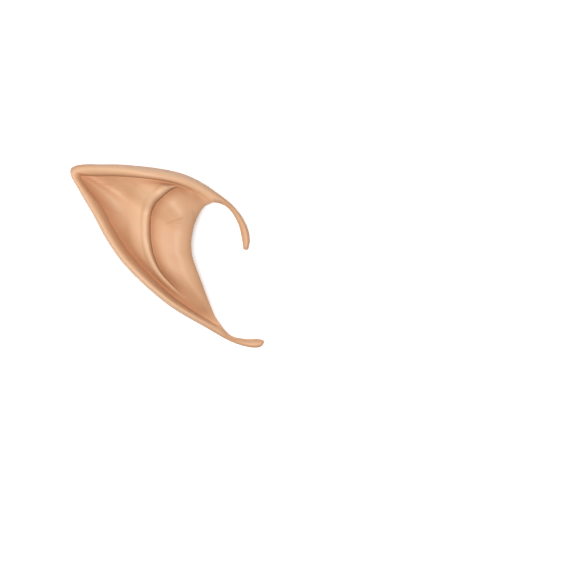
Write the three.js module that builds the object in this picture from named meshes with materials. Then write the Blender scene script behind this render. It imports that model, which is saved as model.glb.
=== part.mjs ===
// Elf ear tip: a slip-on, hollow moulding of soft latex, with a thin tail at each end of its mouth.
//
// Millimetres. The ear lies on its back with its front face up: the point is towards -X, the mouth
// that takes the wearer's ear is open towards +X, the upper rim is towards +Y. The origin is the
// middle of the bounding box's underside.
//
// The moulding is one closed skin, lofted through sections that fan round the mouth, from the end of
// the upper tail to the end of the lower tail. Each section is a vertical plane from a point on the
// mouth's edge to a point on the outer rim.

import * as THREE from "three";
import { mergeVertices } from "three/addons/utils/BufferGeometryUtils.js";

// Overall size
const EAR_LENGTH = 90; // from the point to the end of the lower tail, along X
const EAR_HEIGHT = 84.5; // from the upper rim to the lower tail, along Y
const EAR_DEPTH = 20; // from the flat back to the crest of the upper rim, along Z

// Latex skin round the pocket
const WALL = 1.6;
const MOUTH_WALL = 1.1; // at the very edge of the mouth
const MOUTH_TAPER = 6; // distance over which the skin thins towards the mouth
const RIM_WALL = 2.2; // solid latex between the rim's outer edge and the pocket
const POCKET_ROUND = 4; // rounding of the pocket's deep end
const BACK_SETBACK = 4; // the back skin stops this far short of the front skin's edge

// Front skin, which curls back towards the mouth's edge
const CURL_SHARE = 0.45; // part of the way to the inner fold's crease over which it curls
const CURL_SLOPE = 0.9; // at the very edge of the mouth

// Rolled rim: its width from the outer edge to its foot, beside the upper and the lower outline, and
// where the lower one runs into its tail
const UPPER_ROLL = 5.6;
const LOWER_ROLL = 5.8;
const TAIL_ROLL = 3.6;
const BACK_ROUND = 9; // rounding between the rim's outer edge and the flat back

// Trough beside the roll: how far the face rises out of it, and over what distance
const UPPER_TROUGH = 2;
const LOWER_TROUGH = 4.8;
const TROUGH_REACH = 9;

// Inner fold: a C-shaped ridge with a sharp crease on its mouth side
const FOLD_HEIGHT = 2.6;
const FOLD_RISE = 2.5; // from the crease to the crest
const FOLD_TOP = 1.2; // width of the flat top past the crest
const FOLD_WIDTH = 5.8; // from the crease to the foot on the rim side
const SHOULDER_SHARE = 0.72; // part of the height that falls slowly, over a shoulder past the top
const SHOULDER_WIDTH = 15;
const CREASE_DEPTH = 2.2;
const CREASE_REACH = 6.5; // on the mouth side

// Shares that shape the profiles
const EDGE_SHARE = 0.45; // height of the rim's outer edge between the underside and the crest
const UPPER_CREST = 0.6; // place of the crest in the roll's width
const LOWER_CREST = 0.28;
const TAIL_CREST = 0.42;
const UPPER_FOOT = 0.6; // a low power ends the upper roll in a sharp crease
const SOFT_FOOT = 1.3; // a high power ends it in a soft hollow by the lower rim and the tails' roots
const TAIL_FOOT = 0.55; // the tails are round all over
const UPPER_FLATNESS = 4; // a high power keeps the roll's top flat, here on the body's upper side
const LOWER_FLATNESS = 2;
const TAIL_START = 0.7; // a section turns into tail where the roll fills more than this of its width
const TAIL_UNDERCUT = 0.7; // rounding of the tails' underside at the mouth's edge
const TAIL_ROUND = 0.8; // part of a tail's width over which its underside is rounded
const SETBACK_START = 0.4; // the back skin's setback begins where the pocket is this far open
const FOLD_START = 0.4; // the inner fold and its crease begin where the ridge column says this
const FOLD_FULL = 0.95; // and have their full height here
const SOLID_ROLL = 0.5; // part of the roll's height that the pocket doesn't follow
const TIP_BLEND = 8; // how sharply the upper and lower rims meet inside the point
const TIP_NARROWING = 0.32; // part of the lower roll's width that is gone at the point
const TIP_REACH = 9; // how far from the point's section, along the sections, the roll is narrower

// Limits where a section is narrow, as shares of the room that the landmark lies in
const CREASE_LIMIT = 0.9; // of the way from the mouth to the roll's foot
const FOLD_CREST_LIMIT = 0.35; // of the way from the crease to the roll's foot
const FOLD_FOOT_LIMIT = 0.8; // of the same way
const FOLD_TOP_LIMIT = 0.4; // of the way from the crest to the foot
const CREASE_REACH_LIMIT = 0.5; // of the way from the mouth to the crease
const BACK_FOOT_LIMIT = 0.4; // of the back skin's width

// Mesh spacing
const STATION_STEP = 3.6; // widest step from one section to the next, along the rim
const LEAST_STEPS = 2; // steps between two rows of the table
const SEARCH_STEPS = 30; // halvings of a section's width when a landmark is searched
const LANDMARK_GAIN = 4; // lines keep to their landmarks as soon as the fold is a quarter raised
const LEAST_POCKET = 0.2; // the pocket never pinches thinner than this between its two ends
const TINY = 1e-6;

// Sections, from the end of the upper tail to the end of the lower tail. The mouth's and the rim's
// places in plan are shares of EAR_LENGTH and EAR_HEIGHT. Heights are shares of EAR_DEPTH: under is the
// underside, crest the top of the rolled rim, foot the face beside the roll and plate the face beside
// the mouth. The last three are plain shares: fold is the place of the crease between mouth and rim,
// ridge is 0 on the tails and 1 where the body has its full relief, and pocket says how far the pocket
// is open.
const COLUMNS = [
  "mouthX", "mouthY", "rimX", "rimY", "under", "crest", "foot", "plate", "fold", "ridge", "pocket",
];
const SECTIONS = [
  [0.392, 0.034, 0.410, 0.034, 0.000, 0.160, 0.070, 0.070, 0.500, 0.00, 0.00],
  [0.387, 0.079, 0.419, 0.085, 0.005, 0.180, 0.085, 0.085, 0.500, 0.00, 0.00],
  [0.365, 0.178, 0.396, 0.181, 0.100, 0.260, 0.170, 0.170, 0.500, 0.00, 0.00],
  [0.309, 0.268, 0.329, 0.278, 0.280, 0.410, 0.340, 0.340, 0.550, 0.00, 0.00],
  [0.243, 0.298, 0.246, 0.348, 0.300, 0.575, 0.430, 0.430, 0.650, 0.00, 0.00],
  [0.210, 0.290, 0.195, 0.386, 0.180, 0.660, 0.550, 0.525, 0.700, 0.00, 0.00],
  [0.182, 0.268, 0.133, 0.423, 0.070, 0.770, 0.620, 0.630, 0.600, 0.10, 0.35],
  [0.162, 0.237, 0.051, 0.456, 0.015, 0.890, 0.700, 0.725, 0.640, 0.60, 0.75],
  [0.132, 0.162, -0.189, 0.494, 0.000, 1.000, 0.790, 0.850, 0.480, 1.00, 1.00],
  [0.124, 0.125, -0.333, 0.499, 0.000, 0.790, 0.575, 0.850, 0.410, 1.00, 1.00],
  [0.118, 0.071, -0.486, 0.486, 0.000, 0.400, 0.240, 0.850, 0.335, 1.00, 1.00],
  [0.118, 0.052, -0.500, 0.461, 0.000, 0.375, 0.225, 0.850, 0.330, 1.00, 1.00],
  [0.123, 0.003, -0.451, 0.350, 0.000, 0.475, 0.300, 0.850, 0.365, 1.00, 1.00],
  [0.134, -0.036, -0.387, 0.233, 0.000, 0.600, 0.375, 0.850, 0.415, 1.00, 1.00],
  [0.150, -0.084, -0.315, 0.091, 0.000, 0.675, 0.415, 0.815, 0.465, 1.00, 1.00],
  [0.168, -0.136, -0.228, -0.041, 0.000, 0.740, 0.450, 0.765, 0.490, 0.95, 1.00],
  [0.208, -0.251, -0.005, -0.261, 0.015, 0.700, 0.450, 0.600, 0.420, 0.40, 0.80],
  [0.257, -0.366, 0.203, -0.395, 0.120, 0.440, 0.290, 0.300, 0.450, 0.00, 0.00],
  [0.325, -0.441, 0.321, -0.465, 0.060, 0.240, 0.140, 0.140, 0.500, 0.00, 0.00],
  [0.408, -0.459, 0.407, -0.495, 0.005, 0.175, 0.080, 0.080, 0.500, 0.00, 0.00],
  [0.456, -0.458, 0.456, -0.499, 0.000, 0.165, 0.075, 0.075, 0.500, 0.00, 0.00],
  [0.493, -0.465, 0.484, -0.490, 0.000, 0.150, 0.070, 0.070, 0.500, 0.00, 0.00],
];

const { lerp, clamp, smoothstep } = THREE.MathUtils;

// Climbs from 0 to 1 as a quarter of a circle, steep at the start.
function quarterRound(share) {
  return Math.sqrt(1 - (1 - clamp(share, 0, 1)) ** 2);
}

// Spacings of lines: crowded at the start, crowded at the end, or even.
const crowdStart = (share) => 1 - Math.cos((share * Math.PI) / 2);
const crowdEnd = (share) => Math.sin((share * Math.PI) / 2);
const even = (share) => share;

// A value of the table's row by its column's name.
function entry(row, column) {
  return row[COLUMNS.indexOf(column)];
}

function mouthPoint(row) {
  return new THREE.Vector3(entry(row, "mouthX") * EAR_LENGTH, entry(row, "mouthY") * EAR_HEIGHT, 0);
}

function rimPoint(row) {
  return new THREE.Vector3(entry(row, "rimX") * EAR_LENGTH, entry(row, "rimY") * EAR_HEIGHT, 0);
}

// Each row's station is the mean way along the mouth and the rim, so the loft is smooth across rows.
const stations = [0];
const rowSteps = [];
for (let i = 1; i < SECTIONS.length; i += 1) {
  const alongMouth = mouthPoint(SECTIONS[i]).distanceTo(mouthPoint(SECTIONS[i - 1]));
  const alongRim = rimPoint(SECTIONS[i]).distanceTo(rimPoint(SECTIONS[i - 1]));
  stations.push(stations[i - 1] + (alongMouth + alongRim) / 2);
  rowSteps.push(Math.max(LEAST_STEPS, Math.ceil(Math.max(alongMouth, alongRim) / STATION_STEP)));
}
const table = new THREE.CubicInterpolant(stations, Float64Array.from(SECTIONS.flat()), COLUMNS.length);

// Walks the rows with extra steps between them and returns what the visitor makes of each station.
function alongRows(firstRow, lastRow, visit) {
  const visited = [];
  for (let i = firstRow; i < lastRow; i += 1) {
    for (let k = 0; k < rowSteps[i]; k += 1) {
      visited.push(visit(lerp(stations[i], stations[i + 1], k / rowSteps[i])));
    }
  }
  visited.push(visit(stations[lastRow]));
  return visited;
}

// The outer rim in plan, split at the point into its upper and its lower side.
const tipRow = SECTIONS.reduce(
  (best, row, i) => (entry(row, "rimX") < entry(SECTIONS[best], "rimX") ? i : best),
  0,
);
const rimAt = (station) => rimPoint(Array.from(table.evaluate(station)));
const upperRim = alongRows(0, tipRow, rimAt);
const lowerRim = alongRows(tipRow, SECTIONS.length - 1, rimAt);

// Distance from a plan point to a line of points.
function distanceToLine(point, line) {
  const segment = new THREE.Line3();
  const nearest = new THREE.Vector3();
  let least = Infinity;
  for (let i = 1; i < line.length; i += 1) {
    segment.set(line[i - 1], line[i]).closestPointToPoint(point, true, nearest);
    least = Math.min(least, nearest.distanceTo(point));
  }
  return Math.max(least, TINY);
}

// Where a plan point lies beside the rim: its distance from it, and 0 beside the upper rim to 1
// beside the lower. Inside the point the two distances blend, so the troughs run together smoothly.
function besideRim(point) {
  const upper = distanceToLine(point, upperRim) ** TIP_BLEND;
  const lower = distanceToLine(point, lowerRim) ** TIP_BLEND;
  return { distance: (1 / upper + 1 / lower) ** (-1 / TIP_BLEND), lowerSide: upper / (upper + lower) };
}

function planPoint(section, across) {
  return section.mouth.clone().lerp(section.rim, across / section.width);
}

// The roll's width at a place beside the rim, and the crest's place in it. A tail is all roll.
function rollWidth(section, lowerSide) {
  const lowerRoll = lerp(TAIL_ROLL, LOWER_ROLL, section.ridge) * (1 - TIP_NARROWING * section.nearTip);
  return Math.min(lerp(UPPER_ROLL, lowerRoll, lowerSide), section.width);
}

function crestPlace(section, lowerSide) {
  return lerp(TAIL_CREST, lerp(UPPER_CREST, LOWER_CREST, lowerSide), section.ridge);
}

// Searches a section from its rim inwards for the place where a measure of the rim reaches a value.
function searchFromRim(section, measure, wanted) {
  let inner = 0;
  let outer = section.width;
  for (let i = 0; i < SEARCH_STEPS; i += 1) {
    const middle = (inner + outer) / 2;
    if (measure(besideRim(planPoint(section, middle))) < wanted) {
      outer = middle;
    } else {
      inner = middle;
    }
  }
  return (inner + outer) / 2;
}

// One section: its plan line, its heights and its landmarks, which are distances from the mouth.
function sectionAt(station) {
  const row = Array.from(table.evaluate(station));
  const mouth = mouthPoint(row);
  const rim = rimPoint(row);
  const under = Math.max(entry(row, "under"), 0) * EAR_DEPTH;
  const crest = entry(row, "crest") * EAR_DEPTH;
  const section = {
    mouth,
    rim,
    width: mouth.distanceTo(rim),
    under,
    crest,
    edge: lerp(under, crest, EDGE_SHARE),
    foot: entry(row, "foot") * EAR_DEPTH,
    plate: entry(row, "plate") * EAR_DEPTH,
    ridge: clamp(entry(row, "ridge"), 0, 1),
    pocket: clamp(entry(row, "pocket"), 0, 1),
    nearTip: 1 - smoothstep(Math.abs(station - stations[tipRow]), 0, TIP_REACH),
  };
  const rollShare = ({ distance, lowerSide }) => distance / rollWidth(section, lowerSide);
  const crestShare = (place) => rollShare(place) / crestPlace(section, place.lowerSide);
  section.rollCrest = searchFromRim(section, crestShare, 1);
  section.rollFoot = searchFromRim(section, rollShare, 1);
  section.pocketEnd = searchFromRim(section, ({ distance }) => distance, RIM_WALL);
  section.backEdge = BACK_SETBACK * smoothstep(section.pocket, SETBACK_START, 1);
  section.backFoot = Math.max(
    searchFromRim(section, ({ distance }) => distance, BACK_ROUND),
    lerp(section.backEdge, section.width, BACK_FOOT_LIMIT),
  );
  section.crease = Math.min(entry(row, "fold") * section.width, CREASE_LIMIT * section.rollFoot);
  section.curlWidth = CURL_SHARE * section.crease;
  const room = section.rollFoot - section.crease;
  const raised = smoothstep(section.ridge, FOLD_START, FOLD_FULL);
  section.foldCrest = section.crease + Math.min(FOLD_RISE, FOLD_CREST_LIMIT * room);
  section.foldFoot = section.crease + Math.min(FOLD_WIDTH, FOLD_FOOT_LIMIT * room);
  section.foldHeight = raised * FOLD_HEIGHT * Math.min(room / FOLD_WIDTH, 1);
  section.creaseDepth = raised * CREASE_DEPTH;
  section.creaseReach = Math.min(CREASE_REACH, CREASE_REACH_LIMIT * section.crease) + TINY;
  return section;
}

// Height that the inner fold's ridge adds to the face, and depth that its crease takes away.
function foldShape(section, across) {
  const past = across - section.crease;
  const rise = section.foldCrest - section.crease + TINY;
  const fall = section.foldFoot - section.foldCrest + TINY;
  const pastCrest = past - rise;
  const shoulderWidth = Math.min(SHOULDER_WIDTH, section.rollFoot - section.foldCrest) + TINY;
  const shoulder = 1 - smoothstep(pastCrest, 0, shoulderWidth);
  const narrow = 1 - smoothstep(pastCrest, Math.min(FOLD_TOP, FOLD_TOP_LIMIT * fall), fall);
  const outerSide = lerp(narrow, shoulder, SHOULDER_SHARE);
  const ridge = past < rise ? quarterRound(past / rise) : outerSide;
  const fromCrease = past < 0 ? -past / section.creaseReach : past / rise;
  return {
    ridge: section.foldHeight * ridge,
    crease: section.creaseDepth * Math.max(1 - fromCrease, 0) ** 2,
  };
}

// The four heights over one plan point: the outside of the front and back skins, and the pocket's
// upper and lower face between them.
function heightsAt(section, across) {
  const { distance, lowerSide } = besideRim(planPoint(section, across));
  const width = rollWidth(section, lowerSide);
  const inward = Math.max(distance - width, 0);
  const fold = foldShape(section, across);

  // Face between the roll and the mouth
  const trough = section.ridge * lerp(UPPER_TROUGH, LOWER_TROUGH, lowerSide);
  const outOfTrough = trough * (1 - Math.max(1 - inward / TROUGH_REACH, 0) ** 2);
  const towardsMouth = smoothstep(inward / (inward + across + TINY), 0, 1);
  const climb = (section.plate - section.foot - trough) * towardsMouth;
  const curlDrop = (section.pocket * CURL_SLOPE * section.curlWidth) / 2;
  const curl = curlDrop * Math.max(1 - across / section.curlWidth, 0) ** 2;
  const face = section.foot + outOfTrough + climb + fold.ridge - fold.crease - curl;

  // Rolled rim, from its outer edge over its crest down to its foot
  const roll = distance / width;
  const upperBody = (1 - lowerSide) * section.ridge;
  const bodyPower = lerp(SOFT_FOOT, UPPER_FOOT, upperBody);
  const footPower = lerp(bodyPower, TAIL_FOOT, smoothstep(width / section.width, TAIL_START, 1));
  const crestAt = crestPlace(section, lowerSide);
  const past = clamp((roll - crestAt) / (1 - crestAt), 0, 1);
  const flatness = lerp(LOWER_FLATNESS, UPPER_FLATNESS, upperBody);
  const rolled = (section.crest - face) * (1 - past ** flatness) ** footPower;
  const outerFlank = lerp(section.edge, section.crest, quarterRound(roll / crestAt));
  const front = roll < crestAt ? outerFlank : face + rolled;

  // Back, rounded up to the rim's outer edge and, on the tails, to the mouth's edge too
  const round = Math.min(BACK_ROUND, TAIL_ROUND * section.width);
  const rimLift = 1 - quarterRound(distance / round);
  const mouthLift = TAIL_UNDERCUT * (1 - section.pocket) * (1 - quarterRound(across / round));
  const back = lerp(section.under, section.edge, Math.max(rimLift, mouthLift));

  // Pocket
  const wall = lerp(MOUTH_WALL, WALL, Math.min(across / MOUTH_TAPER, 1));
  const middle = (front + back) / 2;
  const top = Math.max(front - wall - SOLID_ROLL * rolled - fold.ridge, middle + LEAST_POCKET / 2);
  const bottom = Math.min(back + wall, middle - LEAST_POCKET / 2);
  const opened = section.pocket * quarterRound((distance - RIM_WALL) / POCKET_ROUND);
  const pocketTop = lerp(middle, top, opened);
  const pocketBottom = lerp(middle, bottom, opened);
  return { front, back, middle, pocketTop, pocketBottom };
}

function pointAt(section, across, layer) {
  return planPoint(section, across).setZ(heightsAt(section, across)[layer]);
}

// Lines across a section, through its landmarks. Over the tails, which are simply round, they run
// evenly from edge to edge instead.
function linesAcross(section, start, stretches) {
  const lines = [start];
  let from = start;
  for (const { to, count, spacing } of stretches) {
    for (let i = 1; i <= count; i += 1) {
      lines.push(lerp(from, to, spacing(i / count)));
    }
    from = to;
  }
  return lines.map((across, i) => {
    const round = (1 - Math.cos((Math.PI * i) / (lines.length - 1))) / 2;
    return lerp(lerp(start, from, round), across, Math.min(LANDMARK_GAIN * section.ridge, 1));
  });
}

function frontRow(section) {
  const lines = linesAcross(section, 0, [
    { to: section.curlWidth, count: 3, spacing: even },
    { to: section.crease, count: 5, spacing: crowdEnd },
    { to: section.foldCrest, count: 2, spacing: crowdStart },
    { to: section.foldFoot, count: 3, spacing: even },
    { to: section.rollFoot, count: 4, spacing: crowdEnd },
    { to: section.rollCrest, count: 4, spacing: crowdStart },
    { to: section.width, count: 4, spacing: crowdEnd },
  ]);
  return lines.map((across) => pointAt(section, across, "front"));
}

function backRow(section) {
  const lines = linesAcross(section, section.width, [
    { to: section.backFoot, count: 5, spacing: crowdStart },
    { to: section.backEdge, count: 3, spacing: even },
  ]);
  return lines.slice(1).map((across) => pointAt(section, across, "back"));
}

// The pocket's faces, from the back skin's edge to the deep end and out to the front skin's edge.
function pocketRow(section) {
  const face = (start, layer) => {
    const lines = linesAcross(section, start, [
      { to: section.crease, count: 4, spacing: even },
      { to: section.pocketEnd, count: 8, spacing: crowdEnd },
    ]);
    return lines.slice(0, -1).map((across) => pointAt(section, across, layer));
  };
  const deepEnd = pointAt(section, section.pocketEnd, "middle");
  return [...face(section.backEdge, "pocketBottom"), deepEnd, ...face(0, "pocketTop").reverse()];
}

// Joins two closed rings of points with triangles, each quad split along its shorter diagonal.
function joinRings(triangles, ring, next) {
  for (let i = 0; i < ring.length; i += 1) {
    const j = (i + 1) % ring.length;
    const [a, b, c, d] = [ring[i], ring[j], next[j], next[i]];
    if (a.distanceTo(c) < b.distanceTo(d)) {
      triangles.push(a, b, c, a, c, d);
    } else {
      triangles.push(a, b, d, b, c, d);
    }
  }
}

// Closes the end of a tail with triangles round the middle of its ring.
function capRing(triangles, ring) {
  const middle = new THREE.Vector3();
  ring.forEach((point) => middle.addScaledVector(point, 1 / ring.length));
  ring.forEach((point, i) => triangles.push(middle, ring[(i + 1) % ring.length], point));
}

// The rows between which the pocket is open.
const isOpen = (row) => entry(row, "pocket") > 0;
const pocketStart = SECTIONS.findIndex(isOpen) - 1;
const pocketStop = SECTIONS.findLastIndex(isOpen) + 1;

// A tail's ring closes at the middle of the mouth's edge. Round the body it runs on into the pocket.
function tailRing(station) {
  const section = sectionAt(station);
  return [...frontRow(section), ...backRow(section), pointAt(section, 0, "middle")];
}

function bodyRing(station) {
  const section = sectionAt(station);
  return [...frontRow(section), ...backRow(section), ...pocketRow(section)];
}

function earGeometry() {
  const triangles = [];
  const upperTail = alongRows(0, pocketStart, tailRing);
  const body = alongRows(pocketStart, pocketStop, bodyRing);
  const lowerTail = alongRows(pocketStop, SECTIONS.length - 1, tailRing);
  for (const rings of [upperTail, body, lowerTail]) {
    rings.slice(1).forEach((ring, i) => joinRings(triangles, rings[i], ring));
  }
  capRing(triangles, upperTail[0]);
  capRing(triangles, lowerTail.at(-1).reverse());

  const geometry = new THREE.BufferGeometry().setFromPoints(triangles);
  const box = new THREE.Box3().setFromBufferAttribute(geometry.getAttribute("position"));
  const centre = box.getCenter(new THREE.Vector3());
  geometry.translate(-centre.x, -centre.y, -box.min.z);
  const merged = mergeVertices(geometry, 1e-4);
  merged.computeVertexNormals();
  return merged;
}

const latex = new THREE.MeshStandardMaterial({ color: 0xe0ae88, roughness: 0.6, metalness: 0 });

const ear = new THREE.Mesh(earGeometry(), latex);
ear.name = "ear_shell";

const group = new THREE.Group();
group.name = "elf_ear_tip";
group.add(ear);

export default group;
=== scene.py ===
# Elf ear tip: the fine skin of a slip-on latex ear, its finish, a pale floor, soft light and a camera.
#
# The skin is the same loft as the solid part, drawn with closer lines, rounded edges and a few faint
# wrinkles. Its shape is worked out in millimetres and placed in metres.

import math

import bpy
import numpy as np
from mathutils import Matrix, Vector


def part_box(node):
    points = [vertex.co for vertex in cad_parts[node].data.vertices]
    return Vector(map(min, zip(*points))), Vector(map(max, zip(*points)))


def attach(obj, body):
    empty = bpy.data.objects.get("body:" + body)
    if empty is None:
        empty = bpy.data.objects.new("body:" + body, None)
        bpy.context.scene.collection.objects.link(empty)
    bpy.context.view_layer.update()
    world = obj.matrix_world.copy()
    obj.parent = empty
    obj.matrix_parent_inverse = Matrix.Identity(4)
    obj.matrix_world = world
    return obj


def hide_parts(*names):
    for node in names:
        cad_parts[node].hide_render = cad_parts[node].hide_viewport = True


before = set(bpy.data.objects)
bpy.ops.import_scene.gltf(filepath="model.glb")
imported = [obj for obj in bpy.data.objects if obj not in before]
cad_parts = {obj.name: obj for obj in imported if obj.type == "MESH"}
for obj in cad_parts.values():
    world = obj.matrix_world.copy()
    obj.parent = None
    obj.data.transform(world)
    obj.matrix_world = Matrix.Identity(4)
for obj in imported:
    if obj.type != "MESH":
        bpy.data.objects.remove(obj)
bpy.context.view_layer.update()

NODE = "ear_shell"
MM = 0.001

# Overall size
EAR_LENGTH = 90
EAR_HEIGHT = 84.5
EAR_DEPTH = 20

# Latex skin round the pocket
WALL = 1.6
MOUTH_WALL = 1.1  # at the very edge of the mouth
MOUTH_TAPER = 6  # distance over which the skin thins towards the mouth
RIM_WALL = 2.2  # solid latex between the rim's outer edge and the pocket
POCKET_ROUND = 4  # rounding of the pocket's deep end
BACK_SETBACK = 4  # the back skin stops this far short of the front skin's edge
LIP_BULGE = 0.35  # rounding of the skin's free edges
LIP_SHARES = (0.2, 0.4, 0.6, 0.8)  # places of the lines round a free edge, from corner to corner
LIP_GAIN = 3  # a free edge is fully its own as soon as the pocket is a third open

# Front skin, which curls back towards the mouth's edge
CURL_SHARE = 0.45  # part of the way to the inner fold's crease over which it curls
CURL_SLOPE = 0.9  # at the very edge of the mouth

# Rolled rim: its width from the outer edge to its foot, beside the upper and the lower outline, and
# where the lower one runs into its tail
UPPER_ROLL = 5.6
LOWER_ROLL = 5.8
TAIL_ROLL = 3.6
BACK_ROUND = 9  # rounding between the rim's outer edge and the flat back

# Trough beside the roll: how far the face rises out of it, and over what distance
UPPER_TROUGH = 2
LOWER_TROUGH = 4.8
TROUGH_REACH = 9

# Inner fold: a C-shaped ridge with a sharp crease on its mouth side
FOLD_HEIGHT = 2.6
FOLD_RISE = 2.5  # from the crease to the crest
FOLD_TOP = 1.2  # width of the flat top past the crest
FOLD_WIDTH = 5.8  # from the crease to the foot on the rim side
SHOULDER_SHARE = 0.72  # part of the height that falls slowly, over a shoulder past the top
SHOULDER_WIDTH = 15
CREASE_DEPTH = 2.2
CREASE_REACH = 6.5  # on the mouth side

# Shares that shape the profiles
EDGE_SHARE = 0.45  # height of the rim's outer edge between the underside and the crest
UPPER_CREST = 0.6  # place of the crest in the roll's width
LOWER_CREST = 0.28
TAIL_CREST = 0.42
UPPER_FOOT = 0.6  # a low power ends the upper roll in a sharp crease
SOFT_FOOT = 1.3  # a high power ends it in a soft hollow by the lower rim and the tails' roots
TAIL_FOOT = 0.55  # the tails are round all over
UPPER_FLATNESS = 4  # a high power keeps the roll's top flat, here on the body's upper side
LOWER_FLATNESS = 2
TAIL_START = 0.7  # a section turns into tail where the roll fills more than this of its width
TAIL_UNDERCUT = 0.7  # rounding of the tails' underside at the mouth's edge
TAIL_ROUND = 0.8  # part of a tail's width over which its underside is rounded
SETBACK_START = 0.4  # the back skin's setback begins where the pocket is this far open
FOLD_START = 0.4  # the inner fold and its crease begin where the ridge column says this
FOLD_FULL = 0.95  # and have their full height here
SOLID_ROLL = 0.5  # part of the roll's height that the pocket doesn't follow
TIP_BLEND = 8  # how sharply the upper and lower rims meet inside the point
TIP_NARROWING = 0.32  # part of the lower roll's width that is gone at the point
TIP_REACH = 9  # how far from the point's section, along the sections, the roll is narrower

# Limits where a section is narrow, as shares of the room that the landmark lies in
CREASE_LIMIT = 0.9  # of the way from the mouth to the roll's foot
FOLD_CREST_LIMIT = 0.35  # of the way from the crease to the roll's foot
FOLD_FOOT_LIMIT = 0.8  # of the same way
FOLD_TOP_LIMIT = 0.4  # of the way from the crest to the foot
CREASE_REACH_LIMIT = 0.5  # of the way from the mouth to the crease
BACK_FOOT_LIMIT = 0.4  # of the back skin's width

# Rounding of the tails' ends
UPPER_END = 0.5
LOWER_END = 1.4
END_RINGS = 8
END_LEAST = 0.25  # size of the last ring, as a share of the tail's
END_CENTRE = 0.35  # place that the rings shrink to, from the mouth to the rim

# Painted light and shade of the front skin, as a tone: 0 on the crests, which are painted lighter where
# light falls, PLAIN_TONE on plain skin and 1 in the hollows, which are painted darker and redder where
# shade falls; part of the hollows' deeper colour is the latex's own. Lights and starts of shades are
# shares of the roll's width, reaches are distances.
PLAIN_TONE = 0.5
UPPER_RIM_LIGHT = 0.9
LOWER_RIM_LIGHT = 0.72
RIM_LIGHT_FADE = 0.5  # part of a rim light's width in which it is full
UPPER_SHADE_START = 0.93
LOWER_SHADE_START = 0.68
SHADE_FULL = 1.12
UPPER_SHADE_REACH = 7
LOWER_SHADE_REACH = 13
UPPER_SHADE = 0.65
SHADE_POWER = 1.5  # how quickly the troughs' shade fades
CREASE_SHADE = 0.88
CREASE_SHADE_REACH = 4.5
CREASE_SHADE_FALL = 0.5  # the same on the ridge's side of the crease
CREASE_SHADE_POWER = 1.3
RIDGE_LIGHT_RISE = 1
RIDGE_LIGHT_REACH = 12
RIDGE_LIGHT_LIMIT = 0.75  # of the way from the crease to the roll's foot
# Painted shade at the rim's outer edge and at the mouth's edge, where the skin turns away from the light
OUTLINE_SHADE = 0.7
OUTLINE_REACH = 2.2
MOUTH_SHADE = 0.5
MOUTH_SHADE_REACH = 2.6
BODY_GAIN = 2  # the troughs and the mouth are shaded fully where the pocket is half open

# Faint wrinkles: half width, strength and places in plan; a negative strength stands up
WRINKLES = (
    (0.45, 1.0, ((-0.37, 14.74), (3.19, 16.14), (7.24, 17.34))),
    (0.40, 0.7, ((4.09, 15.14), (6.19, 15.04))),
    (0.45, 0.8, ((11.44, 20.34), (12.19, 16.54))),
    (0.50, 0.8, ((-30.10, 33.04), (-26.10, 32.54))),
    (0.60, -0.6, ((-25.30, 30.24), (-22.17, 29.04))),
    (0.40, 0.9, ((-10.00, 24.14), (-11.60, 20.64), (-12.30, 17.64))),
)
WRINKLE_DEPTH = 0.07
# Painted shade along the wrinkles, which their small depth alone hardly shows
WRINKLE_SHADE = 0.2

# Mesh spacing
STATION_STEP = 0.6  # widest step from one section to the next, along the rim
RIM_STEP = 1.2  # step of the line that distances from the rim are measured to
LEAST_STEPS = 4  # steps between two rows of the table
SEARCH_STEPS = 30  # halvings of a section's width when a landmark is searched
CHUNK = 4000  # points whose distances from the rim are worked out at a time
CROWDING = 0.8  # how closely the lines over the tails crowd at both edges
LANDMARK_GAIN = 4  # lines keep to their landmarks as soon as the fold is a quarter raised
LEAST_POCKET = 0.2  # the pocket never pinches thinner than this between its two ends
MERGE_DIGITS = 6  # points that agree to this many decimals are one
TINY = 1e-6

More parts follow.
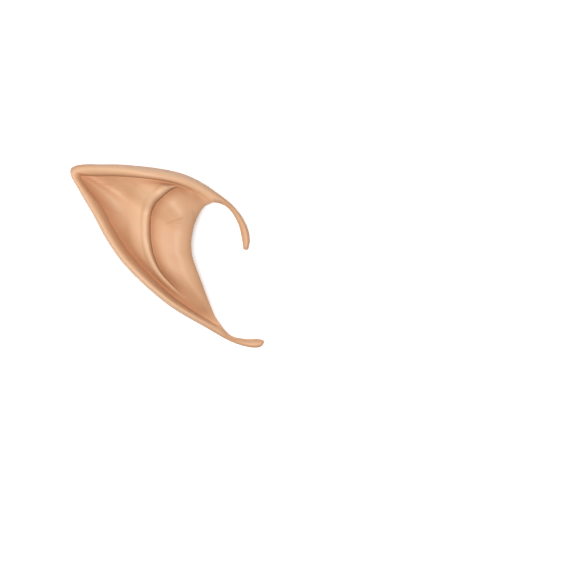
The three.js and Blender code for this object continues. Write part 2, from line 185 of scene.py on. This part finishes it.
# Sections, from the end of the upper tail to the end of the lower tail, as in the solid part. The
# mouth's and the rim's places in plan are shares of EAR_LENGTH and EAR_HEIGHT. Heights are shares of
# EAR_DEPTH: under is the underside, crest the top of the rolled rim, foot the face beside the roll and
# plate the face beside the mouth. The last three are plain shares: fold is the place of the crease
# between mouth and rim, ridge is 0 on the tails and 1 where the body has its full relief, and pocket
# says how far the pocket is open.
COLUMNS = (
    "mouth_x", "mouth_y", "rim_x", "rim_y", "under", "crest", "foot", "plate", "fold", "ridge", "pocket",
)
SECTIONS = np.array([
    [0.392, 0.034, 0.410, 0.034, 0.000, 0.160, 0.070, 0.070, 0.50, 0.00, 0.00],
    [0.387, 0.079, 0.419, 0.085, 0.005, 0.180, 0.085, 0.085, 0.50, 0.00, 0.00],
    [0.365, 0.178, 0.396, 0.181, 0.100, 0.260, 0.170, 0.170, 0.50, 0.00, 0.00],
    [0.309, 0.268, 0.329, 0.278, 0.280, 0.410, 0.340, 0.340, 0.55, 0.00, 0.00],
    [0.243, 0.298, 0.246, 0.348, 0.300, 0.575, 0.430, 0.430, 0.65, 0.00, 0.00],
    [0.210, 0.290, 0.195, 0.386, 0.180, 0.660, 0.550, 0.525, 0.70, 0.00, 0.00],
    [0.182, 0.268, 0.133, 0.423, 0.070, 0.770, 0.620, 0.630, 0.60, 0.10, 0.35],
    [0.162, 0.237, 0.051, 0.456, 0.015, 0.890, 0.700, 0.725, 0.64, 0.60, 0.75],
    [0.132, 0.162, -0.189, 0.494, 0.000, 1.000, 0.790, 0.850, 0.48, 1.00, 1.00],
    [0.124, 0.125, -0.333, 0.499, 0.000, 0.790, 0.575, 0.850, 0.41, 1.00, 1.00],
    [0.118, 0.071, -0.486, 0.486, 0.000, 0.400, 0.240, 0.850, 0.335, 1.00, 1.00],
    [0.118, 0.052, -0.500, 0.461, 0.000, 0.375, 0.225, 0.850, 0.33, 1.00, 1.00],
    [0.123, 0.003, -0.451, 0.350, 0.000, 0.475, 0.300, 0.850, 0.365, 1.00, 1.00],
    [0.134, -0.036, -0.387, 0.233, 0.000, 0.600, 0.375, 0.850, 0.415, 1.00, 1.00],
    [0.150, -0.084, -0.315, 0.091, 0.000, 0.675, 0.415, 0.815, 0.465, 1.00, 1.00],
    [0.168, -0.136, -0.228, -0.041, 0.000, 0.740, 0.450, 0.765, 0.49, 0.95, 1.00],
    [0.208, -0.251, -0.005, -0.261, 0.015, 0.700, 0.450, 0.600, 0.42, 0.40, 0.80],
    [0.257, -0.366, 0.203, -0.395, 0.120, 0.440, 0.290, 0.300, 0.45, 0.00, 0.00],
    [0.325, -0.441, 0.321, -0.465, 0.060, 0.240, 0.140, 0.140, 0.50, 0.00, 0.00],
    [0.408, -0.459, 0.407, -0.495, 0.005, 0.175, 0.080, 0.080, 0.50, 0.00, 0.00],
    [0.456, -0.458, 0.456, -0.499, 0.000, 0.165, 0.075, 0.075, 0.50, 0.00, 0.00],
    [0.493, -0.465, 0.484, -0.490, 0.000, 0.150, 0.070, 0.070, 0.50, 0.00, 0.00],
])


# Small functions of shares

def lerp(a, b, share):
    return a + (b - a) * share


def smoothstep(value, low, high):
    share = np.clip((value - low) / (high - low), 0, 1)
    return share * share * (3 - 2 * share)


def quarter_round(share):
    return np.sqrt(1 - (1 - np.clip(share, 0, 1)) ** 2)


def crowd_start(share):
    return 1 - np.cos(share * math.pi / 2)


def crowd_end(share):
    return np.sin(share * math.pi / 2)


def even(share):
    return share


def crowd_both(share):
    return share - CROWDING * np.sin(2 * math.pi * share) / (2 * math.pi)


# Table of sections

def column(rows, name):
    return rows[..., COLUMNS.index(name)]


def plan_points(rows, side):
    x = column(rows, side + "_x") * EAR_LENGTH
    y = column(rows, side + "_y") * EAR_HEIGHT
    return np.stack([x, y], axis=-1)


def row_lengths(side):
    steps = np.diff(plan_points(SECTIONS, side), axis=0)
    return np.hypot(steps[:, 0], steps[:, 1])


def row_stations():
    return np.concatenate([[0], np.cumsum((row_lengths("mouth") + row_lengths("rim")) / 2)])


STATIONS = row_stations()


def rows_at(stations):
    """The table's values at any stations, on a smooth cubic through its rows."""
    step = np.diff(STATIONS)[:, None]
    slope = np.diff(SECTIONS, axis=0) / step
    tangent = np.concatenate([slope[:1], (slope[1:] + slope[:-1]) / 2, slope[-1:]])
    row = np.clip(np.searchsorted(STATIONS, stations, side="right") - 1, 0, len(step) - 1)
    share = ((stations - STATIONS[row]) / step[row, 0])[:, None]
    start = (1 + 2 * share) * (1 - share) ** 2
    leave = share * (1 - share) ** 2 * step[row]
    stop = share ** 2 * (3 - 2 * share)
    arrive = share ** 2 * (share - 1) * step[row]
    return (
        start * SECTIONS[row] + leave * tangent[row] + stop * SECTIONS[row + 1] + arrive * tangent[row + 1]
    )


def stations_between(first_row, last_row, widest):
    """Stations from one row to another, no further apart along the mouth or the rim than widest."""
    longest = np.maximum(row_lengths("mouth"), row_lengths("rim"))
    counts = np.maximum(LEAST_STEPS, np.ceil(longest / widest)).astype(int)
    parts = [
        np.linspace(STATIONS[i], STATIONS[i + 1], counts[i], endpoint=False)
        for i in range(first_row, last_row)
    ]
    return np.concatenate([*parts, [STATIONS[last_row]]])


TIP_ROW = int(column(SECTIONS, "rim_x").argmin())
LAST_ROW = len(SECTIONS) - 1
UPPER_RIM = plan_points(rows_at(stations_between(0, TIP_ROW, RIM_STEP)), "rim")
LOWER_RIM = plan_points(rows_at(stations_between(TIP_ROW, LAST_ROW, RIM_STEP)), "rim")


# Distances from the rim

def distance_to_line(points, line):
    """Distance of each of (n, 2) points from a line of points."""
    start = line[:-1]
    along = line[1:] - start
    length = (along ** 2).sum(axis=1)
    offset = points[:, None, :] - start
    share = np.clip((offset * along).sum(axis=2) / length, 0, 1)
    gap = offset - share[..., None] * along
    return np.maximum(np.sqrt((gap ** 2).sum(axis=2).min(axis=1)), TINY)


def beside_rim(points):
    """Distance from the rim, and 0 beside the upper rim to 1 beside the lower, for (n, 2) points."""
    distance = np.empty(len(points))
    lower_side = np.empty(len(points))
    for begin in range(0, len(points), CHUNK):
        part = slice(begin, begin + CHUNK)
        upper = distance_to_line(points[part], UPPER_RIM) ** TIP_BLEND
        lower = distance_to_line(points[part], LOWER_RIM) ** TIP_BLEND
        distance[part] = (1 / upper + 1 / lower) ** (-1 / TIP_BLEND)
        lower_side[part] = upper / (upper + lower)
    return distance, lower_side


def roll_width(ridge, section_width, near_tip, lower_side):
    """The roll's width at a place beside the rim. A tail is all roll."""
    lower_roll = lerp(TAIL_ROLL, LOWER_ROLL, ridge) * (1 - TIP_NARROWING * near_tip)
    return np.minimum(lerp(UPPER_ROLL, lower_roll, lower_side), section_width)


def crest_place(ridge, lower_side):
    """Place of the roll's crest in its width."""
    return lerp(TAIL_CREST, lerp(UPPER_CREST, LOWER_CREST, lower_side), ridge)


# Sections and their landmarks

class Sections:
    """A row of sections: plan lines, heights and landmarks, each an array over the stations."""

    def __init__(self, stations):
        rows = rows_at(stations)
        self.mouth = plan_points(rows, "mouth")
        self.rim = plan_points(rows, "rim")
        self.width = np.hypot(*(self.rim - self.mouth).T)
        self.outwards = (self.mouth - self.rim) / self.width[:, None]
        self.under = np.maximum(column(rows, "under"), 0) * EAR_DEPTH
        self.crest = column(rows, "crest") * EAR_DEPTH
        self.edge = lerp(self.under, self.crest, EDGE_SHARE)
        self.foot = column(rows, "foot") * EAR_DEPTH
        self.plate = column(rows, "plate") * EAR_DEPTH
        self.ridge = np.clip(column(rows, "ridge"), 0, 1)
        self.pocket = np.clip(column(rows, "pocket"), 0, 1)
        self.near_tip = 1 - smoothstep(np.abs(stations - STATIONS[TIP_ROW]), 0, TIP_REACH)
        self.roll_crest = self.search_from_rim(self.crest_share, 1)
        self.roll_foot = self.search_from_rim(self.roll_share, 1)
        self.pocket_end = self.search_from_rim(self.plain_distance, RIM_WALL)
        self.back_edge = BACK_SETBACK * smoothstep(self.pocket, SETBACK_START, 1)
        self.back_foot = np.maximum(
            self.search_from_rim(self.plain_distance, BACK_ROUND),
            lerp(self.back_edge, self.width, BACK_FOOT_LIMIT),
        )
        self.raised = smoothstep(self.ridge, FOLD_START, FOLD_FULL)
        self.crease = np.minimum(column(rows, "fold") * self.width, CREASE_LIMIT * self.roll_foot)
        room = self.roll_foot - self.crease
        self.fold_crest = self.crease + np.minimum(FOLD_RISE, FOLD_CREST_LIMIT * room)
        self.fold_foot = self.crease + np.minimum(FOLD_WIDTH, FOLD_FOOT_LIMIT * room)
        self.fold_height = self.raised * FOLD_HEIGHT * np.minimum(room / FOLD_WIDTH, 1)

    def plan(self, across):
        """Plan points at (stations, lines) distances from the mouth."""
        share = (across / self.width[:, None])[..., None]
        return lerp(self.mouth[:, None], self.rim[:, None], share)

    def roll_width(self, lower_side):
        return roll_width(self.ridge, self.width, self.near_tip, lower_side)

    def roll_share(self, distance, lower_side):
        return distance / self.roll_width(lower_side)

    def crest_share(self, distance, lower_side):
        return self.roll_share(distance, lower_side) / crest_place(self.ridge, lower_side)

    def plain_distance(self, distance, lower_side):
        return distance

    def search_from_rim(self, measure, wanted):
        """Searches each section from its rim inwards for where a measure of the rim reaches a value."""
        inner = np.zeros_like(self.width)
        outer = self.width.copy()
        for _ in range(SEARCH_STEPS):
            middle = (inner + outer) / 2
            near = measure(*beside_rim(self.plan(middle[:, None])[:, 0])) < wanted
            outer = np.where(near, middle, outer)
            inner = np.where(near, inner, middle)
        return (inner + outer) / 2

    def lines(self, start, *stretches):
        """Distances of the lines from the mouth, as (stations, lines).

        They run through the landmarks. Each stretch says where it ends, how many lines it has and how
        they are spaced. Over the tails, which are simply round, they run from edge to edge instead.
        """
        lines = [start]
        begin = start
        for stop, count, spacing in stretches:
            lines.extend(lerp(begin, stop, spacing(i / count)) for i in range(1, count + 1))
            begin = stop
        count = len(lines) - 1
        round_lines = [lerp(start, begin, crowd_both(i / count)) for i in range(count + 1)]
        follow = np.minimum(LANDMARK_GAIN * self.ridge, 1)
        return np.stack([lerp(a, b, follow) for a, b in zip(round_lines, lines)], axis=1)


# Heights

def wrinkles_at(points):
    """How deep the faint wrinkles are at (n, 2) points in plan, as a share of their depth."""
    depth = np.zeros(len(points))
    for half_width, strength, line in WRINKLES:
        near = distance_to_line(points, np.array(line)) / half_width
        depth += strength * np.exp(-near ** 2)
    return depth


def places_at(sections, across):
    """What heights and tones need at (stations, lines) distances from the mouth.

    These are the places' distances from the rim and sides of it, the roll's width there, how deep the
    wrinkles are, and the sections' own values in columns.
    """
    flat = sections.plan(across).reshape(-1, 2)
    distance, lower_side = (values.reshape(across.shape) for values in beside_rim(flat))
    s = {name: value[:, None] for name, value in vars(sections).items() if value.ndim == 1}
    width = roll_width(s["ridge"], s["width"], s["near_tip"], lower_side)
    return distance, lower_side, width, wrinkles_at(flat).reshape(across.shape), s


def fold_shape(s, across):
    """Height that the inner fold's ridge adds to the face, and depth that its crease takes away."""
    past = across - s["crease"]
    rise = s["fold_crest"] - s["crease"] + TINY
    fall = s["fold_foot"] - s["fold_crest"] + TINY
    past_crest = past - rise
    shoulder_width = np.minimum(SHOULDER_WIDTH, s["roll_foot"] - s["fold_crest"]) + TINY
    shoulder = 1 - smoothstep(past_crest, 0, shoulder_width)
    narrow = 1 - smoothstep(past_crest, np.minimum(FOLD_TOP, FOLD_TOP_LIMIT * fall), fall)
    outer_side = lerp(narrow, shoulder, SHOULDER_SHARE)
    ridge = np.where(past < rise, quarter_round(past / rise), outer_side)
    crease_reach = np.minimum(CREASE_REACH, CREASE_REACH_LIMIT * s["crease"] + TINY)
    gone = np.where(past < 0, -past / crease_reach, past / rise)
    crease = CREASE_DEPTH * s["raised"] * np.maximum(1 - gone, 0) ** 2
    return s["fold_height"] * ridge, crease


def heights_at(sections, across):
    """The skin's heights at (stations, lines) distances from the mouth."""
    distance, lower_side, width, wrinkles, s = places_at(sections, across)
    inward = np.maximum(distance - width, 0)
    fold, crease = fold_shape(s, across)

    # Face between the roll and the mouth
    trough = s["ridge"] * lerp(UPPER_TROUGH, LOWER_TROUGH, lower_side)
    out_of_trough = trough * (1 - np.maximum(1 - inward / TROUGH_REACH, 0) ** 2)
    towards_mouth = smoothstep(inward / (inward + across + TINY), 0, 1)
    climb = (s["plate"] - s["foot"] - trough) * towards_mouth
    curl_width = CURL_SHARE * s["crease"]
    curl_drop = s["pocket"] * CURL_SLOPE * curl_width / 2
    curl = curl_drop * np.maximum(1 - across / curl_width, 0) ** 2
    face = s["foot"] + out_of_trough + climb + fold - crease - curl

    # Rolled rim, from its outer edge over its crest down to its foot
    roll = distance / width
    upper_body = (1 - lower_side) * s["ridge"]
    body_power = lerp(SOFT_FOOT, UPPER_FOOT, upper_body)
    foot_power = lerp(body_power, TAIL_FOOT, smoothstep(width / s["width"], TAIL_START, 1))
    place = crest_place(s["ridge"], lower_side)
    beyond = np.clip((roll - place) / (1 - place), 0, 1)
    flatness = lerp(LOWER_FLATNESS, UPPER_FLATNESS, upper_body)
    rolled = (s["crest"] - face) * (1 - beyond ** flatness) ** foot_power
    outer_flank = lerp(s["edge"], s["crest"], quarter_round(roll / place))
    front = np.where(roll < place, outer_flank, face + rolled) - WRINKLE_DEPTH * wrinkles

    # Back, rounded up to the rim's outer edge and, on the tails, to the mouth's edge too
    radius = np.minimum(BACK_ROUND, TAIL_ROUND * s["width"])
    rim_lift = 1 - quarter_round(distance / radius)
    mouth_lift = TAIL_UNDERCUT * (1 - s["pocket"]) * (1 - quarter_round(across / radius))
    back = lerp(s["under"], s["edge"], np.maximum(rim_lift, mouth_lift))

    # Pocket
    wall = lerp(MOUTH_WALL, WALL, np.minimum(across / MOUTH_TAPER, 1))
    middle = (front + back) / 2
    top = np.maximum(front - wall - SOLID_ROLL * rolled - fold, middle + LEAST_POCKET / 2)
    bottom = np.minimum(back + wall, middle - LEAST_POCKET / 2)
    opened = s["pocket"] * quarter_round((distance - RIM_WALL) / POCKET_ROUND)
    return {
        "front": front,
        "back": back,
        "middle": middle,
        "pocket_top": lerp(middle, top, opened),
        "pocket_bottom": lerp(middle, bottom, opened),
    }


def shading_tone_at(sections, across):
    """The front skin's painted light and shade, as a tone, at (stations, lines) distances from the mouth.
    """
    distance, lower_side, width, wrinkles, s = places_at(sections, across)
    past = across - s["crease"]

    # Painted light on the crests
    roll = distance / width
    rim_light = lerp(UPPER_RIM_LIGHT, LOWER_RIM_LIGHT, lower_side)
    # The outer edge is painted darker where it turns away from the light
    outlined = 1 - lower_side * s["ridge"]
    outline = OUTLINE_SHADE * outlined * (1 - smoothstep(distance, 0, OUTLINE_REACH))
    rim = (1 - outline) * (1 - smoothstep(roll, RIM_LIGHT_FADE * rim_light, rim_light))
    ridge_reach = np.minimum(RIDGE_LIGHT_REACH, RIDGE_LIGHT_LIMIT * (s["roll_foot"] - s["crease"]))
    rising = np.clip(past / RIDGE_LIGHT_RISE, 0, 1)
    ridge = s["raised"] * rising * np.clip(1 - (past / ridge_reach) ** 2, 0, 1)
    light = np.maximum(rim, ridge)

    # Painted shade in the troughs, the crease and by the mouth; in the troughs part of it is the latex's
    # own deeper colour
    shade_start = lerp(UPPER_SHADE_START, LOWER_SHADE_START, lower_side)
    shade_reach = lerp(UPPER_SHADE_REACH, LOWER_SHADE_REACH, lower_side)
    fading = np.clip(1 - np.maximum(distance - width, 0) / shade_reach, 0, 1) ** SHADE_POWER
    trough = lerp(UPPER_SHADE, 1, lower_side) * smoothstep(roll, shade_start, SHADE_FULL) * fading
    body = np.minimum(BODY_GAIN * s["pocket"], 1)
    trough = body * trough * smoothstep(across, 0, MOUTH_SHADE_REACH) * (1 - ridge)
    before = np.clip(1 + past / CREASE_SHADE_REACH, 0, 1) ** CREASE_SHADE_POWER
    behind = np.clip(1 - past / CREASE_SHADE_FALL, 0, 1)
    crease = CREASE_SHADE * s["raised"] * np.where(past < 0, before, behind)
    # Painted shade where the skin curls down at the mouth's edge
    mouth = body * MOUTH_SHADE * np.clip(1 - across / MOUTH_SHADE_REACH, 0, 1)
    shade = 1 - (1 - trough) * (1 - crease) * (1 - mouth) * (1 - outline)

    shading_tone = PLAIN_TONE + (1 - PLAIN_TONE) * shade - PLAIN_TONE * light * (1 - shade)
    # Painted shade along the wrinkles
    return shading_tone + WRINKLE_SHADE * wrinkles


def layer(sections, across, name):
    """Points of a skin's lines, each with its place, its height and its tone of painted light and shade.
    """
    height = heights_at(sections, across)[name]
    shading_tone = shading_tone_at(sections, across) if name == "front" else np.full_like(across, PLAIN_TONE)
    return np.concatenate([sections.plan(across), height[..., None], shading_tone[..., None]], axis=-1)


# Rings of points round each section

def lip(sections, outer, inner):
    """Rounds a free edge, from its outer corner to its inner one, both left out."""
    opened = np.minimum(LIP_GAIN * sections.pocket, 1)[:, None]
    points = []
    for share in LIP_SHARES:
        bulge = lerp(math.sin(share * math.pi / 2), math.sin(share * math.pi), opened)
        drop = lerp(1 - math.cos(share * math.pi / 2), (1 - math.cos(share * math.pi)) / 2, opened)
        place = lerp(outer[:, :2], inner[:, :2], share) + LIP_BULGE * bulge * sections.outwards
        height = lerp(outer[:, 2:], inner[:, 2:], drop)
        points.append(np.concatenate([place, height], axis=1))
    return np.stack(points, axis=1)


def ring_parts(sections):
    """Lines of points over the front, the back and the pocket's faces, and between the free edges."""
    zero = np.zeros_like(sections.width)
    front = layer(sections, sections.lines(
        zero,
        (sections.crease, 34, even),
        (sections.fold_crest, 8, crowd_start),
        (sections.fold_foot, 10, even),
        (sections.roll_foot, 34, crowd_end),
        (sections.roll_crest, 10, crowd_start),
        (sections.width, 14, crowd_end),
    ), "front")
    back = layer(sections, sections.lines(
        sections.width,
        (sections.back_foot, 18, crowd_start),
        (sections.back_edge, 16, even),
    ), "back")[:, 1:]
    under_pocket = layer(sections, sections.lines(
        sections.back_edge,
        (sections.crease, 12, even),
        (sections.pocket_end, 24, crowd_end),
    ), "pocket_bottom")[:, :-1]
    over_pocket = layer(sections, sections.lines(
        zero,
        (sections.crease, 12, even),
        (sections.pocket_end, 24, crowd_end),
    ), "pocket_top")[:, :-1]
    deep_end = layer(sections, sections.pocket_end[:, None], "middle")
    edge_middle = layer(sections, zero[:, None], "middle")
    closing = 1 - np.minimum(LIP_GAIN * sections.pocket, 1)
    shift = LIP_BULGE * closing[:, None] * sections.outwards
    for part in (under_pocket, over_pocket, edge_middle):
        part[:, 0, :2] += shift
    return front, back, under_pocket, deep_end, over_pocket, edge_middle


def tail_rings(first_row, last_row, end_round):
    """Rings of a tail, which shrink to a rounded end at the table's first or last row."""
    end = STATIONS[0] if first_row == 0 else STATIONS[LAST_ROW]
    turn = np.linspace(0, math.pi / 2, END_RINGS)
    rounded = end + math.copysign(end_round, STATIONS[first_row + 1] - end) * (1 - np.cos(turn))
    stations = np.union1d(stations_between(first_row, last_row, STATION_STEP), rounded)
    sections = Sections(stations)
    front, back, _, _, _, edge_middle = ring_parts(sections)
    middle = edge_middle[:, 0]
    back_lip = lip(sections, back[:, -1], middle)
    front_lip = lip(sections, front[:, 0], middle)[:, ::-1]
    rings = np.concatenate([front, back, back_lip, edge_middle, front_lip], axis=1)
    plan_centre = lerp(sections.mouth, sections.rim, END_CENTRE)
    centre = np.concatenate([plan_centre, middle[:, 2:]], axis=1)[:, None]
    size = lerp(END_LEAST, 1, quarter_round(np.abs(stations - end) / end_round))
    return lerp(centre, rings, size[:, None, None])


def body_rings(sections):
    """Rings of the body, which run from the skin's free edges on into the pocket."""
    front, back, under_pocket, deep_end, over_pocket, _ = ring_parts(sections)
    back_lip = lip(sections, back[:, -1], under_pocket[:, 0])
    front_lip = lip(sections, front[:, 0], over_pocket[:, 0])[:, ::-1]
    parts = [front, back, back_lip, under_pocket, deep_end, over_pocket[:, ::-1], front_lip]
    return np.concatenate(parts, axis=1)


def strip_faces(rings, first):
    """Quads between neighbouring rings, whose points are numbered from first on."""
    count, size = rings.shape[:2]
    index = first + np.arange(count * size).reshape(count, size)
    here = index[:-1]
    following = index[1:]
    quads = [here, np.roll(here, -1, axis=1), np.roll(following, -1, axis=1), following]
    return np.stack(quads, axis=-1).reshape(-1, 4)


def ear_mesh():
    """Points, their tones of painted light and shade, faces and end caps of the whole skin, with equal
    points merged.
    """
    open_rows = np.flatnonzero(column(SECTIONS, "pocket") > 0)
    start, stop = int(open_rows[0]) - 1, int(open_rows[-1]) + 1
    strips = [
        tail_rings(0, start, UPPER_END),
        body_rings(Sections(stations_between(start, stop, STATION_STEP))),
        tail_rings(stop, LAST_ROW, LOWER_END),
    ]
    points = np.concatenate([strip.reshape(-1, 4) for strip in strips])
    firsts = np.cumsum([0] + [strip.shape[0] * strip.shape[1] for strip in strips])
    faces = [strip_faces(strip, first) for strip, first in zip(strips, firsts)]
    unique, kept, merged = np.unique(
        points[:, :3].round(MERGE_DIGITS), axis=0, return_index=True, return_inverse=True,
    )
    merged = merged.reshape(-1)
    quads = merged[np.concatenate(faces)]
    ring_size = strips[0].shape[1]
    caps = [merged[:ring_size][::-1], merged[len(points) - ring_size:]]
    return unique, points[kept, 3], [list(dict.fromkeys(quad)) for quad in quads.tolist()], caps


def make_ear(material):
    points, shading_tones, quads, caps = ear_mesh()
    low = np.array(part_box(NODE)[0])
    places = (points - points.min(axis=0)) * MM + low
    mesh = bpy.data.meshes.new("ear_skin")
    mesh.from_pydata(places.tolist(), [], quads + [cap.tolist() for cap in caps])
    # The points' tones of painted light and shade go into an attribute that the finish reads
    shading_tone = mesh.attributes.new("shading_tone", "FLOAT", "POINT")
    shading_tone.data.foreach_set("value", shading_tones.astype(np.float32))
    mesh.validate()
    mesh.materials.append(material)
    mesh.shade_smooth()
    ear = bpy.data.objects.new("ear_skin", mesh)
    bpy.context.scene.collection.objects.link(ear)
    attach(ear, "root")
    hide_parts(NODE)


# Latex finish, with painted light on the crests and painted shade in the hollows

# The crests' colour is a painted highlight; the hollows' colour is partly the latex's own deeper colour
# and partly painted shade
CREST_HIGHLIGHT_COLOUR = (0.725, 0.445, 0.270, 1)
PLAIN_COLOUR = (0.638, 0.362, 0.206, 1)
HOLLOW_TINT_AND_SHADE_COLOUR = (0.462, 0.218, 0.112, 1)
ROUGHNESS = 0.52
MOTTLE = 0.2  # how far the tone varies in all
MOTTLE_SCALE = 90
GRAIN_SCALE = 900
GRAIN_STRENGTH = 0.25
GRAIN_DEPTH = 0.0002


def latex_material():
    material = bpy.data.materials.new("latex")
    material.use_nodes = True
    nodes = material.node_tree.nodes
    links = material.node_tree.links
    shader = nodes["Principled BSDF"]
    shader.inputs["Roughness"].default_value = ROUGHNESS
    shader.inputs["Subsurface Weight"].default_value = 0.12
    shader.inputs["Subsurface Radius"].default_value = (1.0, 0.45, 0.25)
    shader.inputs["Subsurface Scale"].default_value = 0.0008
    shader.inputs["Specular IOR Level"].default_value = 0.35

    place = nodes.new("ShaderNodeTexCoord")
    mottle = nodes.new("ShaderNodeTexNoise")
    mottle.inputs["Scale"].default_value = MOTTLE_SCALE
    mottle.inputs["Detail"].default_value = 5
    links.new(place.outputs["Object"], mottle.inputs["Vector"])
    # Reads the points' tones of painted light and shade
    shading_tone_attribute = nodes.new("ShaderNodeAttribute")
    shading_tone_attribute.attribute_name = "shading_tone"
    uneven = nodes.new("ShaderNodeMath")
    uneven.operation = "MULTIPLY_ADD"
    uneven.inputs[1].default_value = MOTTLE
    links.new(mottle.outputs["Fac"], uneven.inputs[0])
    links.new(shading_tone_attribute.outputs["Fac"], uneven.inputs[2])
    centred = nodes.new("ShaderNodeMath")
    centred.operation = "SUBTRACT"
    centred.inputs[1].default_value = MOTTLE / 2
    links.new(uneven.outputs["Value"], centred.inputs[0])
    # The ramp turns the tones into painted light on the crests and painted shade in the hollows
    shading_tones = nodes.new("ShaderNodeValToRGB")
    stops = shading_tones.color_ramp.elements
    stops[0].position = 0
    stops[0].color = CREST_HIGHLIGHT_COLOUR
    stops[1].position = 1
    stops[1].color = HOLLOW_TINT_AND_SHADE_COLOUR
    stops.new(PLAIN_TONE).color = PLAIN_COLOUR
    links.new(centred.outputs["Value"], shading_tones.inputs["Fac"])
    links.new(shading_tones.outputs["Color"], shader.inputs["Base Color"])

    grain = nodes.new("ShaderNodeTexNoise")
    grain.inputs["Scale"].default_value = GRAIN_SCALE
    grain.inputs["Detail"].default_value = 3
    links.new(place.outputs["Object"], grain.inputs["Vector"])
    bump = nodes.new("ShaderNodeBump")
    bump.inputs["Strength"].default_value = GRAIN_STRENGTH
    bump.inputs["Distance"].default_value = GRAIN_DEPTH
    links.new(grain.outputs["Fac"], bump.inputs["Height"])
    links.new(bump.outputs["Normal"], shader.inputs["Normal"])
    return material


# Floor, light and camera, in metres

FLOOR_SIZE = 3
FLOOR_GAP = 0.0002
FLOOR_GREY = 0.92
FLOOR_GLOW = 0.35  # hides the ear's shadow on the floor, which the photograph doesn't show
KEY_PLACE = (-0.17, 0.04, 1.6)
KEY_SIZE = 0.8
KEY_ENERGY = 31.1
WORLD_LIGHT = 0.07
WHITE = (1, 1, 1, 1)


def make_floor():
    bpy.ops.mesh.primitive_plane_add(size=FLOOR_SIZE, location=(0, 0, -FLOOR_GAP))
    floor = bpy.context.object
    floor.name = "floor"
    material = bpy.data.materials.new("floor")
    material.use_nodes = True
    shader = material.node_tree.nodes["Principled BSDF"]
    shader.inputs["Base Color"].default_value = (FLOOR_GREY, FLOOR_GREY, FLOOR_GREY, 1)
    shader.inputs["Roughness"].default_value = 0.9
    shader.inputs["Emission Color"].default_value = WHITE
    shader.inputs["Emission Strength"].default_value = FLOOR_GLOW
    floor.data.materials.append(material)


def make_light(name, place, size, energy):
    light = bpy.data.lights.new(name, "AREA")
    light.shape = "DISK"
    light.size = size
    light.energy = energy
    lamp = bpy.data.objects.new(name, light)
    lamp.location = place
    lamp.rotation_euler = (-Vector(place)).to_track_quat("-Z", "Y").to_euler()
    bpy.context.scene.collection.objects.link(lamp)


def make_light_rig():
    make_light("key", KEY_PLACE, KEY_SIZE, KEY_ENERGY)
    world = bpy.data.worlds.new("studio")
    world.use_nodes = True
    background = world.node_tree.nodes["Background"]
    background.inputs["Color"].default_value = WHITE
    background.inputs["Strength"].default_value = WORLD_LIGHT
    bpy.context.scene.world = world
    bpy.context.scene.view_settings.view_transform = "Standard"


# The photograph looks straight down at the ear, which lies up and left of the picture's middle.
PHOTO_MIDDLE = (55.6, -14.7)  # part's millimetres under the middle of the picture
PHOTO_WIDTH = 265.4  # of the part's millimetres across the picture
CAMERA_HEIGHT = 3000
SENSOR_WIDTH = 36


def make_camera():
    camera = bpy.data.cameras.new("camera")
    camera.sensor_width = SENSOR_WIDTH
    camera.lens = SENSOR_WIDTH * CAMERA_HEIGHT / PHOTO_WIDTH
    holder = bpy.data.objects.new("camera", camera)
    holder.location = (PHOTO_MIDDLE[0] * MM, PHOTO_MIDDLE[1] * MM, CAMERA_HEIGHT * MM)
    bpy.context.scene.collection.objects.link(holder)
    bpy.context.scene.camera = holder


make_camera()
make_ear(latex_material())
make_floor()
make_light_rig()
